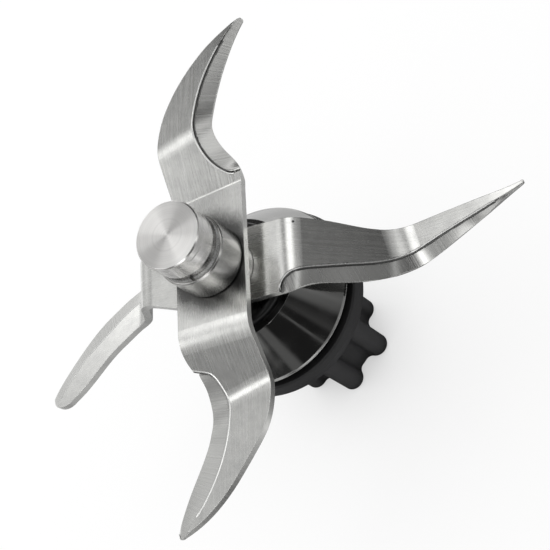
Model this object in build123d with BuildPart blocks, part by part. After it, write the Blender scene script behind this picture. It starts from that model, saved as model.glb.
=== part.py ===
# Jug knife assembly: four bent, ground arms on a spindle that runs in a bell housing.
# Sizes are millimetres, +Z is up, the origin is the centre of the drive coupling's lower face.
import math
import os

from build123d import *

os.makedirs("parts", exist_ok=True)

# Fits between pieces
RUN = 0.05          # radial clearance of faces that turn on each other
SEAT = 0.04         # radial clearance of round seats that stay still
FLAT_FIT = 0.05     # clearance on the two drive flats
END_PLAY = 0.05     # axial clearance of the spindle in its bushes
FREE = 0.3          # clearance round the washers, the wick and the shaft's lower end

# Drive coupling
LOBES = 6
LOBE_R = 15.2       # axis to lobe crest
LOBE_NOSE_R = 3.3
LOBE_DEPTH = 4.8    # crest to valley
VALLEY_R = LOBE_R - LOBE_DEPTH
COUPLING_H = 37.0
LOBE_PHASE = 46.0   # degrees
LOBE_EDGE = 1.2
VALLEY_ROUND = 2.2
INSERT_AF = 15.0    # hexagon of the steel insert, across flats
INSERT_PHASE = LOBE_PHASE + 180 / LOBES
SCREW_POCKET_R = 5.8
SCREW_POCKET_H = 9.0

# Screw and washer that hold the coupling
SCREW_R = 2.5
SCREW_HEAD_R = 4.2
SCREW_HEAD_H = 3.4
SCREW_HEAD_EDGE = 0.4
SCREW_GRIP = 13.0   # thread above the pocket
SCREW_KEY_AF = 4.0
SCREW_KEY_DEPTH = 2.2
COUPLING_WASHER_H = 1.2
DRILL_RUN = 1.0     # tapped hole past the screw's end

# Spindle shaft
SHAFT_R = 5.0       # bearing seats
STUD_R = 4.0        # blade seat and coupling end
FLAT_HALF = 3.3     # axis to each drive flat, and the clamp stud's radius
SHOULDER_STEP = 1.5
SHOULDER_R = SHAFT_R + SHOULDER_STEP
SHOULDER_H = 4.35
STUD_EDGE = 0.5

# Plain bushes, two alike but for the lower one's flange, and the felt wick between them
BUSH_WALL = 3.0
BUSH_R = SHAFT_R + BUSH_WALL
BUSH_L = 9.0
BUSH_FLANGE_W = 1.6
BUSH_FLANGE_R = BUSH_R + BUSH_FLANGE_W
BUSH_FLANGE_H = 1.5
WICK_H = 3.0

# Heights up the stack
FOOT_SPACER_H = 3.0
FOOT_SPACER_WALL = 1.8
FOOT_SPACER_R = SHAFT_R + FOOT_SPACER_WALL
LOWER_BUSH_Z = COUPLING_H + FOOT_SPACER_H
UPPER_BUSH_Z = LOWER_BUSH_Z + BUSH_L + WICK_H
SHOULDER_WASHER_H = 0.5
SHOULDER_Z = UPPER_BUSH_Z + BUSH_L + END_PLAY + SHOULDER_WASHER_H
WASHER_Z = SHOULDER_Z + SHOULDER_H
WASHER_H = 1.5
BLADE_T = 2.2
LOWER_BLADE_Z = WASHER_Z + WASHER_H
SPACER_H = 4.2
UPPER_BLADE_Z = LOWER_BLADE_Z + BLADE_T + SPACER_H
SLEEVE_Z = UPPER_BLADE_Z + BLADE_T
SLEEVE_H = 10.0
NUT_Z = SLEEVE_Z + SLEEVE_H
NUT_H = 10.4

# Clamp pieces above and between the blades
NUT_R = 9.0
NUT_EDGE = 0.35
NUT_LINE_DROP = 2.2     # turned line below the nut's face
NUT_LINE_DEPTH = 0.12
NUT_BAND_DROP = 4.9     # upper end of the tapered band
NUT_BAND_TAPER = 0.25
NUT_GROOVE_DEPTH = 1.2
NUT_GROOVE_H = 3.3
NUT_GROOVE_R = NUT_R - NUT_GROOVE_DEPTH
NUT_ROOF = 2.0          # metal above the blind hole
STUD_GAP = 0.6          # stud's end to the hole's end
LOCK_RING_H = 1.5
LOCK_RING_BACK = 0.15   # lock ring within the nut's outline
LOCK_RING_SLIT = 0.9
LOCK_RING_AZIMUTH = 279.0
SLEEVE_R = 9.5
SLEEVE_EDGE = 0.4
SLEEVE_FOOT_EDGE = 0.7
SPACER_R = 9.0
WASHER_R = 9.4
WASHER_EDGE = 0.3

# Bearing carrier and rubber gasket
CARRIER_WALL = 5.5
CARRIER_R = BUSH_R + CARRIER_WALL
CARRIER_GAP = 1.0       # coupling to carrier
CARRIER_Z = COUPLING_H + CARRIER_GAP
BUSH_COVER = 1.0        # carrier past the upper bush
CARRIER_TOP = UPPER_BUSH_Z + BUSH_L + BUSH_COVER
RIM_R = 25.0
BELL_WALL = 1.1
FOOT_GAP = 1.0          # carrier's foot within the bell
CARRIER_FOOT_R = RIM_R - BELL_WALL - FOOT_GAP
GASKET_KEEP = 1.3       # lip of the foot above the gasket
GASKET_LIP = 1.6        # lip of the foot below the gasket
GASKET_LIP_H = 2.0
GASKET_SEAT_R = CARRIER_FOOT_R - GASKET_KEEP
GASKET_Z = CARRIER_Z + GASKET_LIP_H
GASKET_H = 4.6
GASKET_W = 4.45
GASKET_TAPER = 0.65
GASKET_R_LOW = GASKET_SEAT_R + GASKET_W
GASKET_R_TOP = GASKET_R_LOW - GASKET_TAPER
GASKET_EDGE = 0.5
GASKET_BAND = 2.0
CLIP_H = 1.2
CLIP_DEPTH = 0.9
CLIP_INSET = 0.8        # circlip's bore past the foot spacer
CLIP_SLIT = 5.0

# Bell housing and its seal
RIM_GROOVE = 3.2        # open height between the gasket and the rim
RIM_Z = GASKET_Z + GASKET_H + RIM_GROOVE
RIM_EDGE = 0.45         # bevels of the rolled rim
FOOT_RISE = 0.6         # carrier's foot up into the bell
CARRIER_FOOT_TOP = RIM_Z + FOOT_RISE
NECK_GAP = 2.0
NECK_R = CARRIER_R + NECK_GAP + BELL_WALL
NECK_RISE = 0.2
NECK_Z = CARRIER_TOP + NECK_RISE
COLLAR_STEP = 1.6
COLLAR_STEP_H = 0.3
COLLAR_R = NECK_R - COLLAR_STEP
COLLAR_ROUND = 1.4
BLADE_GAP = 0.7         # bell to the washer under the blades
BELL_TOP_Z = WASHER_Z - BLADE_GAP
SEAL_STEP = 2.0
SEAL_SEAT_R = CARRIER_R - SEAL_STEP
SEAL_H = 2.6
SEAL_LIP_H = 0.6
SEAL_LIP_W = 2.0

# Blade strips: grinding step at the inner line, land left on the cutting edge, and the grinding cutter
EDGE_LAND = 0.35
STEP = 0.45
GRIND_SECTIONS = 12
GRIND_OVERRUN = 1.5
GRIND_TOP = 1.5         # how far the cutter stands above the strip
BEND_ZONE = 4.0         # its sections follow the bend line this far past the outer bend
TURN_ZONE = 9.0         # then turn square to the grinding line over this length
BLANK_HALF = 45.0       # half width of the strip before it is trimmed
HUB_LAP = 6.0           # the two arms' strips overlap this far past the axis
OUTLINE_POINTS = 20

# Each arm is a flat pattern: s runs out from the axis, q across it to the trailing side.
# bends: place on s, angle up, skew of the bend line, inner radius. tip_width: ground face at the tip.
TOP_ARM = dict(
    azimuth=90, bends=((18.9, 26, -8, 1.2), (35.3, -32, -16, 7.0)),
    trail=((16, 10), (24, 10.6), (32, 11.1), (40, 10.4), (48, 7.2), (56, 1.2), (66.4, -13.1)),
    tip=(66.3, -14.3), tip_width=1.8,
    lead=((19, -10), (22.5, -10), (25, -9.2), (28, -7.3), (34, -4.9), (40, -5.1), (48, -6.7), (56, -9.3),
          (65.1, -14.5)),
    grind=((22.6, -9.9), (23.5, -6.0), (28.9, -1.7), (36, 0.0), (43, -0.5), (50, -2.4), (57, -5.8),
           (66.9, -13.6)))
BOTTOM_ARM = dict(
    azimuth=270, bends=((19.2, -40, -3, 7.0), (36.4, 45, -15, 6.0)),
    trail=((12, 10), (20, 10), (28, 10.3), (36, 10.7), (44, 9.6), (52, 4.8), (60, -1.4), (70.2, -16.0)),
    tip=(70.2, -17.9), tip_width=2.4,
    lead=((16, -10), (23, -10), (27, -9.6), (32, -8.2), (38, -8.6), (46, -9.7), (56, -13.8), (68.4, -18.4)),
    grind=((27.4, -8.8), (28.4, -5.4), (33, -3.0), (39, -2.1), (46, -2.4), (54, -4.5), (62, -8.6),
           (71, -16.6)))
RIGHT_ARM = dict(
    azimuth=0, bends=((19.2, -45, 0, 6.0), (50.6, 55, -14, 9.0)),
    trail=((10, 10), (20, 10), (30, 9.6), (40, 8.4), (50, 8.6), (60, 10.1), (72, 11.9), (83.8, 14.2)),
    tip=(84.7, 13.6), tip_width=1.6,
    lead=((6, -10), (12, -9.9), (16, -9.65), (19, -9.4), (22, -8.5), (26, -7.2), (34, -6.4), (44, -4.8),
          (54, -1.6), (64, 3.0), (74, 8.0), (84.3, 12.7)),
    grind=((15.7, -9.4), (18.0, -5.3), (23.6, -3.4), (32, -2.1), (40, -1.1), (50, 1.3), (60, 4.9), (70, 8.3),
           (85.2, 13.4)))
LEFT_ARM = dict(
    azimuth=180, bends=((25.1, -66, 0, 4.0), (36.5, 52, -8, 5.5)),
    trail=((7, 9.6), (14.5, 7.2), (20, 5.4), (25.1, 4.1), (31, 4.0), (37.8, 4.7), (42.4, 6.9), (48.1, 10),
           (57.1, 17.0), (63, 20.8)),
    tip=(70.9, 21.3), tip_width=5.0,
    lead=((10, -10), (20, -10), (28, -9.6), (36, -8.6), (42, -7.2), (49, -4.1), (57, 0.4), (64.8, 7.1),
          (71.5, 14.4), (74.2, 18.2)),
    grind=((31, -5.6), (35, -4.2), (39, -2.5), (43.6, -0.5), (50, 3.4), (56, 7.2), (64, 13.8), (68.2, 19.0),
           (72, 25.6)))


def double_d(r, half):
    """Round drive section with two flats, for the sketch being drawn."""
    Circle(r)
    Rectangle(2 * half, 4 * r, mode=Mode.INTERSECT)


def ring(z, h, r_out, r_in, edge=0.0):
    """Plain turned ring, with a chamfer on its outer edges where edge is given."""
    with BuildPart() as piece:
        with BuildSketch(Plane.XY.offset(z)):
            Circle(r_out)
            Circle(r_in, mode=Mode.SUBTRACT)
        extrude(amount=h)
        if edge:
            chamfer(piece.edges().filter_by(GeomType.CIRCLE).group_by(SortBy.RADIUS)[-1], edge)
    return piece


def bend_sizes(bend):
    """Radii of a bend at the strip's upper and lower face, and its length on the upper face."""
    _, angle, _, r_in = bend
    r_top, r_low = (r_in, r_in + BLADE_T) if angle > 0 else (r_in + BLADE_T, r_in)
    return r_top, r_low, r_top * math.radians(abs(angle))


def bend_axes(frame, skew):
    """Directions square to a bend line and along it, in a flat portion's frame."""
    across = frame.x_dir * math.cos(skew) - frame.y_dir * math.sin(skew)
    return across, frame.x_dir * math.sin(skew) + frame.y_dir * math.cos(skew)


def next_frame(frame, bend):
    """Frame of the flat portion past a bend, so that its own s and q carry on."""
    s_bend, angle, skew, _ = bend
    r_top, _, length = bend_sizes(bend)
    b, k = math.radians(angle), math.radians(skew)
    e, u = bend_axes(frame, k)
    n = frame.z_dir
    e2 = e * math.cos(b) + n * math.sin(b)
    n2 = n * math.cos(b) - e * math.sin(b)
    rise = math.copysign(r_top * (1 - math.cos(b)), b)
    middle = frame.from_local_coords(Vector(s_bend, 0, 0))
    end = middle + e * (r_top * math.sin(abs(b)) - length / 2) + n * rise
    origin = end - e2 * (s_bend * math.cos(k) + length / 2) - u * (s_bend * math.sin(k))
    return Plane(origin, x_dir=e2 * math.cos(k) + u * math.sin(k), z_dir=n2)


def local_frame(arm, hub, s, q):
    """Frame that holds the flat point s, q after bending, also inside a bend."""
    frame = hub
    for bend in arm["bends"]:
        s_bend, angle, skew, r_in = bend
        k = math.radians(skew)
        length = bend_sizes(bend)[2]
        past = (s - s_bend) * math.cos(k) - q * math.sin(k) + length / 2
        if past <= 0:
            return frame
        if past < length:
            middle = s_bend + (past - length) / 2 / math.cos(k)
            return next_frame(frame, (middle, angle * past / length, skew, r_in))
        frame = next_frame(frame, bend)
    return frame


def flat_line(points):
    """Smooth line through flat-pattern points."""
    return Spline(*[Vector(s, q) for s, q in points], mode=Mode.PRIVATE)


def plan_point(arm, hub, s, q, depth):
    """Place in plan of a flat-pattern point, depth below the strip's upper face."""
    spot = local_frame(arm, hub, s, q).from_local_coords(Vector(s, q, -depth))
    return Vector(spot.X, spot.Y)


def plan_outline(arm, hub):
    """Trailing edge, tip and cutting edge in plan; the cutting edge is the strip's lower corner."""
    places = [i / (OUTLINE_POINTS - 1) for i in range(OUTLINE_POINTS)]
    trail, lead = flat_line(arm["trail"]), flat_line(arm["lead"])
    return ([plan_point(arm, hub, (trail @ t).X, (trail @ t).Y, 0) for t in places],
            plan_point(arm, hub, *arm["tip"], BLADE_T),
            [plan_point(arm, hub, (lead @ t).X, (lead @ t).Y, BLADE_T) for t in places])


def slab(frame, bend, back, ahead):
    """One bend with straight strip before and after it, wide enough to trim."""
    s_bend, angle, skew, _ = bend
    r_top, r_low, length = bend_sizes(bend)
    b = math.radians(angle)
    e, u = bend_axes(frame, math.radians(skew))
    out, up = Vector(math.cos(b), math.sin(b)), Vector(-math.sin(b), math.cos(b))
    corner = Vector(r_top * math.tan(abs(b) / 2) - length / 2, 0)
    low_corner = corner + Vector(BLADE_T * math.tan(b / 2), -BLADE_T)
    end, low_end = corner + out * ahead, corner + out * ahead - up * BLADE_T
    with BuildPart() as piece:
        with BuildSketch(Plane(frame.from_local_coords(Vector(s_bend, 0, 0)), x_dir=e, z_dir=-u)):
            with BuildLine():
                top = FilletPolyline((-back, 0), corner, end, radius=r_top)
                low = FilletPolyline((-back, -BLADE_T), low_corner, low_end, radius=r_low)
                Line(top @ 0, low @ 0)
                Line(top @ 1, low @ 1)
            make_face()
        extrude(amount=BLANK_HALF, both=True)
    return piece.part


def arm_strip(arm, hub):
    """Bent strip of one arm from the axis outwards, before it is trimmed to outline."""
    first, second = arm["bends"]
    middle = next_frame(hub, first)
    along, _ = bend_axes(middle, math.radians((first[2] + second[2]) / 2))
    joint = middle.from_local_coords(Vector((first[0] + second[0]) / 2, 0, 0))
    seam = Plane(joint, x_dir=middle.z_dir, z_dir=along)
    inner_slab = slab(hub, first, first[0] + HUB_LAP, second[0])
    outer_slab = slab(middle, second, second[0], arm["tip"][0])
    with BuildPart() as inner:
        add(inner_slab)
        split(bisect_by=seam, keep=Keep.BOTTOM)
    with BuildPart() as strip:
        add(outer_slab)
        split(bisect_by=seam, keep=Keep.TOP)
        add(inner.part)
    return strip.part


def width_to_edge(arm, spot, skew):
    """Width of the ground face at a grinding-line point, measured along a line of that skew."""
    edge = arm["lead"] + (arm["tip"],)
    across = Vector(math.sin(skew), math.cos(skew))
    along = Vector(math.cos(skew), -math.sin(skew))
    width = arm["tip_width"]
    for p0, p1 in zip(edge, edge[1:]):
        v0, v1 = Vector(*p0) - spot, Vector(*p1) - spot
        d0, d1 = v0.dot(along), v1.dot(along)
        if d0 * d1 <= 0 and d0 != d1:
            meet = v0 + (v1 - v0) * (d0 / (d0 - d1))
            width = max(width, -meet.dot(across))
    return width


def grind_skew(arm, s, heading):
    """Skew of the ground face's section: along the bend lines, then square to the grinding line."""
    (s1, _, k1, _), (s2, _, k2, _) = arm["bends"]
    if s < s2 + BEND_ZONE:
        return math.radians(k1 + min(max((s - s1) / (s2 - s1), 0), 1) * (k2 - k1))
    share = min((s - s2 - BEND_ZONE) / TURN_ZONE, 1)
    return (1 - share) * math.radians(k2) - share * heading


def grinding_cutter(arm, hub):
    """A shallow step at the grinding line, then a slope down to the cutting edge."""
    line = flat_line(arm["grind"])
    with BuildPart() as cutter:
        for i in range(GRIND_SECTIONS):
            spot, tangent = line @ (i / (GRIND_SECTIONS - 1)), line % (i / (GRIND_SECTIONS - 1))
            skew = grind_skew(arm, spot.X, math.atan2(tangent.Y, tangent.X))
            frame = local_frame(arm, hub, spot.X, spot.Y)
            along, across = bend_axes(frame, skew)
            width = width_to_edge(arm, spot, skew)
            reach = width + GRIND_OVERRUN
            fall = STEP + (BLADE_T - EDGE_LAND - STEP) * reach / width
            with BuildSketch(Plane(frame.from_local_coords(spot), x_dir=across, z_dir=along)):
                with BuildLine():
                    Polyline((0, GRIND_TOP), (0, -STEP), (-reach, -fall), (-reach, GRIND_TOP), close=True)
                make_face()
        loft()
    return cutter.part


def blade(arms, face_z):
    """Both arms of one blade: bent strip, trimmed in plan, ground on the leading edges."""
    hubs = [Plane((0, 0, face_z), x_dir=Vector(1, 0, 0).rotate(Axis.Z, arm["azimuth"]), z_dir=(0, 0, 1))
            for arm in arms]
    strips = [arm_strip(arm, hub) for arm, hub in zip(arms, hubs)]
    cutters = [grinding_cutter(arm, hub) for arm, hub in zip(arms, hubs)]
    outlines = [plan_outline(arm, hub) for arm, hub in zip(arms, hubs)]
    reach = max(arm["tip"][0] for arm in arms)
    with BuildPart() as piece:
        add(strips)
        with BuildSketch(Plane.XY.offset(face_z - reach)):
            with BuildLine():
                for (trail, tip, lead), (next_trail, _, _) in zip(outlines, outlines[::-1]):
                    Spline(*trail)
                    ThreePointArc(trail[-1], tip, lead[-1])
                    Spline(*lead[::-1])
                    Line(lead[0], next_trail[0])
            make_face()
        extrude(amount=2 * reach, mode=Mode.INTERSECT)
        add(cutters, mode=Mode.SUBTRACT)
        with BuildSketch(Plane.XY.offset(face_z - BLADE_T)):
            double_d(STUD_R + SEAT, FLAT_HALF + FLAT_FIT)
        extrude(amount=BLADE_T, mode=Mode.SUBTRACT)
    return piece


# Drive coupling, a moulded star
with BuildPart() as drive_coupling:
    with BuildSketch() as star:
        Circle(VALLEY_R)
        with PolarLocations(0, LOBES, start_angle=LOBE_PHASE):
            with Locations((LOBE_R - LOBE_NOSE_R, 0)):
                Circle(LOBE_NOSE_R)
            with Locations(((LOBE_R - LOBE_NOSE_R) / 2, 0)):
                Rectangle(LOBE_R - LOBE_NOSE_R, 2 * LOBE_NOSE_R)
        fillet(star.vertices().group_by(lambda v: round(math.hypot(v.X, v.Y), 1))[0], VALLEY_ROUND)
    extrude(amount=COUPLING_H)
    chamfer(drive_coupling.faces().sort_by(Axis.Z)[0].outer_wire().edges(), LOBE_EDGE)
    with BuildSketch(Plane.XY.offset(SCREW_POCKET_H)):
        RegularPolygon(INSERT_AF / 2 + SEAT, 6, major_radius=False, rotation=INSERT_PHASE)
    extrude(amount=COUPLING_H - SCREW_POCKET_H, mode=Mode.SUBTRACT)
    with BuildSketch():
        Circle(SCREW_POCKET_R)
    extrude(amount=SCREW_POCKET_H, mode=Mode.SUBTRACT)
drive_coupling.part.label = "drive_coupling"

# Steel insert in the coupling
with BuildPart() as coupling_insert:
    with BuildSketch(Plane.XY.offset(SCREW_POCKET_H)):
        RegularPolygon(INSERT_AF / 2, 6, major_radius=False, rotation=INSERT_PHASE)
    extrude(amount=COUPLING_H - SCREW_POCKET_H)
    with BuildSketch(Plane.XY.offset(SCREW_POCKET_H)):
        double_d(STUD_R + SEAT, FLAT_HALF + FLAT_FIT)
    extrude(amount=COUPLING_H - SCREW_POCKET_H, mode=Mode.SUBTRACT)
coupling_insert.part.label = "coupling_insert"

# Washer and socket screw that hold the coupling on the spindle
HEAD_TOP = SCREW_POCKET_H - COUPLING_WASHER_H
SCREW_TOP = SCREW_POCKET_H + SCREW_GRIP
coupling_washer = ring(HEAD_TOP, COUPLING_WASHER_H, SCREW_POCKET_R - FREE, SCREW_R + SEAT)
coupling_washer.part.label = "coupling_washer"

with BuildPart() as coupling_screw:
    with BuildSketch(Plane.XY.offset(HEAD_TOP - SCREW_HEAD_H)):
        Circle(SCREW_HEAD_R)
    extrude(amount=SCREW_HEAD_H)
    chamfer(coupling_screw.edges().group_by(Axis.Z)[0], SCREW_HEAD_EDGE)
    with BuildSketch(Plane.XY.offset(HEAD_TOP)):
        Circle(SCREW_R)
    extrude(amount=SCREW_TOP - HEAD_TOP)
    with BuildSketch(Plane.XY.offset(HEAD_TOP - SCREW_HEAD_H)):
        RegularPolygon(SCREW_KEY_AF / 2, 6, major_radius=False)
    extrude(amount=SCREW_KEY_DEPTH, mode=Mode.SUBTRACT)
coupling_screw.part.label = "coupling_screw"

# Spindle shaft: coupling end, bearing seats, shoulder, blade seat and clamp stud
SHAFT_Z = SCREW_POCKET_H + FREE
STUD_TOP = NUT_Z + NUT_H - NUT_ROOF - STUD_GAP
with BuildPart() as spindle_shaft:
    with BuildSketch(Plane.XY.offset(SHAFT_Z)):
        double_d(STUD_R, FLAT_HALF)
    extrude(amount=COUPLING_H - SHAFT_Z)
    with BuildSketch(Plane.XY.offset(COUPLING_H)):
        Circle(SHAFT_R)
    extrude(amount=SHOULDER_Z - COUPLING_H)
    with BuildSketch(Plane.XY.offset(SHOULDER_Z)):
        Circle(SHOULDER_R)
    extrude(amount=SHOULDER_H)
    with BuildSketch(Plane.XY.offset(WASHER_Z)):
        double_d(STUD_R, FLAT_HALF)
    extrude(amount=SLEEVE_Z - WASHER_Z)
    with BuildSketch(Plane.XY.offset(SLEEVE_Z)):
        Circle(FLAT_HALF)
    extrude(amount=STUD_TOP - SLEEVE_Z)
    chamfer(spindle_shaft.edges().group_by(Axis.Z)[-1], STUD_EDGE)
    with BuildSketch(Plane.XY.offset(SHAFT_Z)):
        Circle(SCREW_R + SEAT)
    extrude(amount=SCREW_TOP + DRILL_RUN - SHAFT_Z, mode=Mode.SUBTRACT)
spindle_shaft.part.label = "spindle_shaft"

# Plain rings on and round the shaft
foot_spacer = ring(COUPLING_H, FOOT_SPACER_H - END_PLAY, FOOT_SPACER_R, SHAFT_R + SEAT)
foot_spacer.part.label = "foot_spacer"
shoulder_washer = ring(SHOULDER_Z - SHOULDER_WASHER_H, SHOULDER_WASHER_H, SHOULDER_R, SHAFT_R + SEAT)
shoulder_washer.part.label = "shoulder_washer"
blade_washer = ring(WASHER_Z, WASHER_H, WASHER_R, STUD_R + SEAT, WASHER_EDGE)
blade_washer.part.label = "blade_washer"
blade_spacer = ring(LOWER_BLADE_Z + BLADE_T, SPACER_H, SPACER_R, STUD_R + SEAT, WASHER_EDGE)
blade_spacer.part.label = "blade_spacer"
upper_bush = ring(UPPER_BUSH_Z, BUSH_L, BUSH_R - SEAT, SHAFT_R + RUN)
upper_bush.part.label = "upper_bush"
oil_wick = ring(LOWER_BUSH_Z + BUSH_L, WICK_H, BUSH_R - SEAT, SHAFT_R + FREE)
oil_wick.part.label = "oil_wick"

# Lower bush with its thrust flange
with BuildPart() as lower_bush:
    with BuildSketch(Plane.XY.offset(LOWER_BUSH_Z)):
        Circle(BUSH_FLANGE_R - SEAT)
    extrude(amount=BUSH_FLANGE_H)
    with BuildSketch(Plane.XY.offset(LOWER_BUSH_Z)):
        Circle(BUSH_R - SEAT)
    extrude(amount=BUSH_L)
    with BuildSketch(Plane.XY.offset(LOWER_BUSH_Z)):
        Circle(SHAFT_R + RUN)
    extrude(amount=BUSH_L, mode=Mode.SUBTRACT)
lower_bush.part.label = "lower_bush"

# Bearing carrier: tube for the bushes, foot for the gasket, groove for the circlip
CLIP_Z = LOWER_BUSH_Z - CLIP_H - END_PLAY
with BuildPart() as bearing_carrier:
    with BuildSketch(Plane.XZ):
        with BuildLine():
            Polyline((BUSH_FLANGE_R, CARRIER_Z), (GASKET_SEAT_R + GASKET_LIP, CARRIER_Z),
                     (GASKET_SEAT_R + GASKET_LIP, GASKET_Z), (GASKET_SEAT_R, GASKET_Z),
                     (GASKET_SEAT_R, GASKET_Z + GASKET_H), (CARRIER_FOOT_R, GASKET_Z + GASKET_H),
                     (CARRIER_FOOT_R, CARRIER_FOOT_TOP), (CARRIER_R, CARRIER_FOOT_TOP),
                     (CARRIER_R, CARRIER_TOP), (BUSH_R, CARRIER_TOP), (BUSH_R, LOWER_BUSH_Z + BUSH_FLANGE_H),
                     (BUSH_FLANGE_R, LOWER_BUSH_Z + BUSH_FLANGE_H), close=True)
        make_face()
    revolve(axis=Axis.Z)
    with BuildSketch(Plane.XY.offset(CLIP_Z - END_PLAY)):
        Circle(BUSH_FLANGE_R + CLIP_DEPTH)
    extrude(amount=CLIP_H + 2 * END_PLAY, mode=Mode.SUBTRACT)
bearing_carrier.part.label = "bearing_carrier"

# Open circlip under the lower bush
with BuildPart() as circlip:
    with BuildSketch(Plane.XY.offset(CLIP_Z)):
        Circle(BUSH_FLANGE_R + CLIP_DEPTH - SEAT)
        Circle(FOOT_SPACER_R + CLIP_INSET, mode=Mode.SUBTRACT)
        with Locations((0, -BUSH_FLANGE_R)):
            Rectangle(CLIP_SLIT, BUSH_FLANGE_R, mode=Mode.SUBTRACT)
    extrude(amount=CLIP_H)
circlip.part.label = "circlip"

# Rubber gasket around the carrier's foot: a round band below, tapered above
with BuildPart() as flange_gasket:
    with BuildSketch(Plane.XZ):
        with BuildLine():
            Polyline((GASKET_SEAT_R + SEAT, GASKET_Z), (GASKET_R_LOW - GASKET_EDGE, GASKET_Z),
                     (GASKET_R_LOW, GASKET_Z + GASKET_EDGE),
                     (GASKET_R_LOW, GASKET_Z + GASKET_EDGE + GASKET_BAND),
                     (GASKET_R_TOP, GASKET_Z + GASKET_H - GASKET_EDGE),
                     (GASKET_R_TOP - GASKET_EDGE, GASKET_Z + GASKET_H),
                     (GASKET_SEAT_R + SEAT, GASKET_Z + GASKET_H), close=True)
        make_face()
    revolve(axis=Axis.Z)
flange_gasket.part.label = "flange_gasket"

# Bell housing: conical shell with a rolled rim, a rounded neck collar and the seal seat
with BuildPart() as bell_housing:
    with BuildSketch(Plane.XZ):
        with BuildLine():
            rim = Polyline((RIM_R - BELL_WALL, RIM_Z), (RIM_R - RIM_EDGE, RIM_Z), (RIM_R, RIM_Z + RIM_EDGE),
                           (RIM_R - RIM_EDGE, RIM_Z + 2 * RIM_EDGE), (NECK_R, NECK_Z),
                           (COLLAR_R, NECK_Z + COLLAR_STEP_H), (COLLAR_R, BELL_TOP_Z - COLLAR_ROUND))
            crown = RadiusArc(rim @ 1, (COLLAR_R - COLLAR_ROUND, BELL_TOP_Z), -COLLAR_ROUND)
            Polyline(crown @ 1, (SEAL_SEAT_R, BELL_TOP_Z), (SEAL_SEAT_R, CARRIER_TOP),
                     (NECK_R - BELL_WALL, CARRIER_TOP), rim @ 0)
        make_face()
    revolve(axis=Axis.Z)
bell_housing.part.label = "bell_housing"

# Lip seal in the neck
SEAL_TOP = CARRIER_TOP + SEAL_H
with BuildPart() as shaft_seal:
    with BuildSketch(Plane.XZ):
        with BuildLine():
            Polyline((SEAL_SEAT_R - SEAT, CARRIER_TOP), (SEAL_SEAT_R - SEAT, SEAL_TOP),
                     (SHOULDER_R + SEAL_LIP_W, SEAL_TOP), (SHOULDER_R + RUN, SEAL_TOP - SEAL_LIP_H),
                     (SHOULDER_R + RUN, SEAL_TOP - 2 * SEAL_LIP_H), (SHOULDER_R + SEAL_LIP_W, CARRIER_TOP),
                     close=True)
        make_face()
    revolve(axis=Axis.Z)
shaft_seal.part.label = "shaft_seal"

# Blades
upper_blade = blade((TOP_ARM, BOTTOM_ARM), UPPER_BLADE_Z + BLADE_T)
upper_blade.part.label = "upper_blade"
lower_blade = blade((RIGHT_ARM, LEFT_ARM), LOWER_BLADE_Z + BLADE_T)
lower_blade.part.label = "lower_blade"

# Clamp sleeve on the upper blade, more rounded at its foot than at its top
with BuildPart() as clamp_sleeve:
    with BuildSketch(Plane.XY.offset(SLEEVE_Z)):
        Circle(SLEEVE_R)
        Circle(FLAT_HALF + SEAT, mode=Mode.SUBTRACT)
    extrude(amount=SLEEVE_H)
    rims = clamp_sleeve.edges().filter_by(GeomType.CIRCLE).group_by(SortBy.RADIUS)[-1].sort_by(Axis.Z)
    fillet(rims[0], SLEEVE_FOOT_EDGE)
    chamfer(rims[1], SLEEVE_EDGE)
clamp_sleeve.part.label = "clamp_sleeve"

# Cap nut: flat face, a fine turned line, a slightly tapered band and the lock-ring groove at its foot
NUT_TOP = NUT_Z + NUT_H
LINE_Z = NUT_TOP - NUT_LINE_DROP
with BuildPart() as cap_nut:
    with BuildSketch(Plane.XZ):
        with BuildLine():
            Polyline((FLAT_HALF + SEAT, NUT_Z), (NUT_GROOVE_R, NUT_Z), (NUT_GROOVE_R, NUT_Z + NUT_GROOVE_H),
                     (NUT_R - NUT_BAND_TAPER, NUT_Z + NUT_GROOVE_H), (NUT_R, NUT_TOP - NUT_BAND_DROP),
                     (NUT_R, LINE_Z - NUT_LINE_DEPTH), (NUT_R - NUT_LINE_DEPTH, LINE_Z),
                     (NUT_R, LINE_Z + NUT_LINE_DEPTH), (NUT_R, NUT_TOP - NUT_EDGE),
                     (NUT_R - NUT_EDGE, NUT_TOP), (0, NUT_TOP), (0, NUT_TOP - NUT_ROOF),
                     (FLAT_HALF + SEAT, NUT_TOP - NUT_ROOF), close=True)
        make_face()
    revolve(axis=Axis.Z)
cap_nut.part.label = "cap_nut"

# Open lock ring on the sleeve, in the nut's groove
with BuildPart() as lock_ring:
    with BuildSketch(Plane.XY.offset(NUT_Z)):
        Circle(NUT_R - LOCK_RING_BACK)
        Circle(NUT_GROOVE_R + SEAT, mode=Mode.SUBTRACT)
        with PolarLocations(NUT_R, 1, start_angle=LOCK_RING_AZIMUTH):
            Rectangle(3 * NUT_GROOVE_DEPTH, LOCK_RING_SLIT, mode=Mode.SUBTRACT)
    extrude(amount=LOCK_RING_H)
lock_ring.part.label = "lock_ring"

# One file per piece, named by its label
for piece in (drive_coupling, coupling_insert, coupling_washer, coupling_screw, spindle_shaft, foot_spacer,
              shoulder_washer, blade_washer, blade_spacer, lower_bush, upper_bush, oil_wick, bearing_carrier,
              circlip, flange_gasket, bell_housing, shaft_seal, upper_blade, lower_blade, clamp_sleeve,
              cap_nut, lock_ring):
    export_step(piece.part, f"parts/{piece.part.label}.step")
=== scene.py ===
"""Looks of a blender knife: ground blades, turned cap, polished bell, rubber ring and drive star."""
import math

import bmesh
import bpy
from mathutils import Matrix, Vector
from mathutils.bvhtree import BVHTree


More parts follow.
